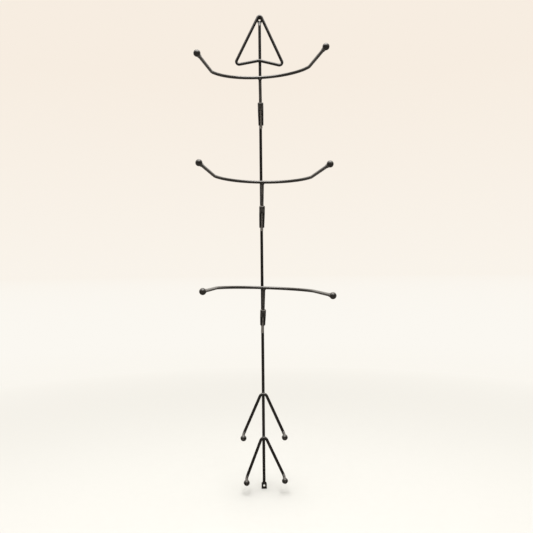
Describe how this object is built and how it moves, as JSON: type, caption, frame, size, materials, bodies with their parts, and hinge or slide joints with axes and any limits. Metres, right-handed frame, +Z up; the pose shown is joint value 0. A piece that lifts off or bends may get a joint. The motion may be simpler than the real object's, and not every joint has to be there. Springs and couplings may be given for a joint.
{
  "type": "wall hat rack",
  "caption": "Arrow-shaped wall rack of bent steel rod: hat cradles that lift out of split sockets on the spine, and forward pegs on fletching-shaped wires.",
  "frame": {"origin": "centre of the upper screw hole, on the spine's axis; the wall is the plane y = 0.003175", "axes": "+Z up along the spine, the rack's front faces -Y and its back lies on the wall, +X to the right of someone facing it"},
  "size_m": [0.249, 0.2663, 1.0326],
  "materials": {
    "frame_paint": "satin black paint",
    "cradle_paint": "satin black paint",
    "ball_paint": "satin black paint"
  },
  "bodies": {
    "rack": {"spine_rod": "frame_paint", "arrowhead_wire": "frame_paint", "arrowhead_welds": "frame_paint", "upper_fletching_wire": "frame_paint", "upper_fletching_weld": "frame_paint", "upper_peg_ball_left": "ball_paint", "upper_peg_ball_right": "ball_paint", "lower_fletching_wire": "frame_paint", "lower_fletching_weld": "frame_paint", "lower_peg_ball_left": "ball_paint", "lower_peg_ball_right": "ball_paint", "top_socket": "frame_paint", "top_socket_weld": "frame_paint", "middle_socket": "frame_paint", "middle_socket_weld": "frame_paint", "bottom_socket": "frame_paint", "bottom_socket_weld": "frame_paint"},
    "top_collar_body": {"top_collar": "cradle_paint"},
    "top_cradle_body": {"top_cradle_wire": "cradle_paint", "top_cradle_stem": "cradle_paint", "top_cradle_weld": "cradle_paint", "top_cradle_ball_left": "ball_paint", "top_cradle_ball_right": "ball_paint"},
    "middle_collar_body": {"middle_collar": "cradle_paint"},
    "middle_cradle_body": {"middle_cradle_wire": "cradle_paint", "middle_cradle_stem": "cradle_paint", "middle_cradle_weld": "cradle_paint", "middle_cradle_ball_left": "ball_paint", "middle_cradle_ball_right": "ball_paint"},
    "bottom_collar_body": {"bottom_collar": "cradle_paint"},
    "bottom_cradle_body": {"bottom_cradle_wire": "cradle_paint", "bottom_cradle_stem": "cradle_paint", "bottom_cradle_weld": "cradle_paint", "bottom_cradle_ball_left": "ball_paint", "bottom_cradle_ball_right": "ball_paint"}
  },
  "joints": [
    {"name": "top_lift", "type": "slide", "parent": "rack", "child": "top_collar_body", "axis": [-0.0236, -0.4289, 0.903], "range_m": [0, 0.04]},
    {"name": "top_swivel", "type": "hinge", "parent": "top_collar_body", "child": "top_cradle_body", "pos_m": [0.0008, -0.007, -0.2381], "axis": [-0.0236, -0.4289, 0.903], "range_deg": [-50, 50]},
    {"name": "middle_lift", "type": "slide", "parent": "rack", "child": "middle_collar_body", "axis": [0.0148, -0.3387, 0.9408], "range_m": [0, 0.04]},
    {"name": "middle_swivel", "type": "hinge", "parent": "middle_collar_body", "child": "middle_cradle_body", "pos_m": [0.0001, -0.007, -0.4602], "axis": [0.0148, -0.3387, 0.9408], "range_deg": [-50, 50]},
    {"name": "bottom_lift", "type": "slide", "parent": "rack", "child": "bottom_collar_body", "axis": [0.0275, -0.3762, 0.9261], "range_m": [0, 0.04]},
    {"name": "bottom_swivel", "type": "hinge", "parent": "bottom_collar_body", "child": "bottom_cradle_body", "pos_m": [-0.0006, -0.007, -0.6815], "axis": [0.0275, -0.3762, 0.9261], "range_deg": [-50, 50]}
  ]
}
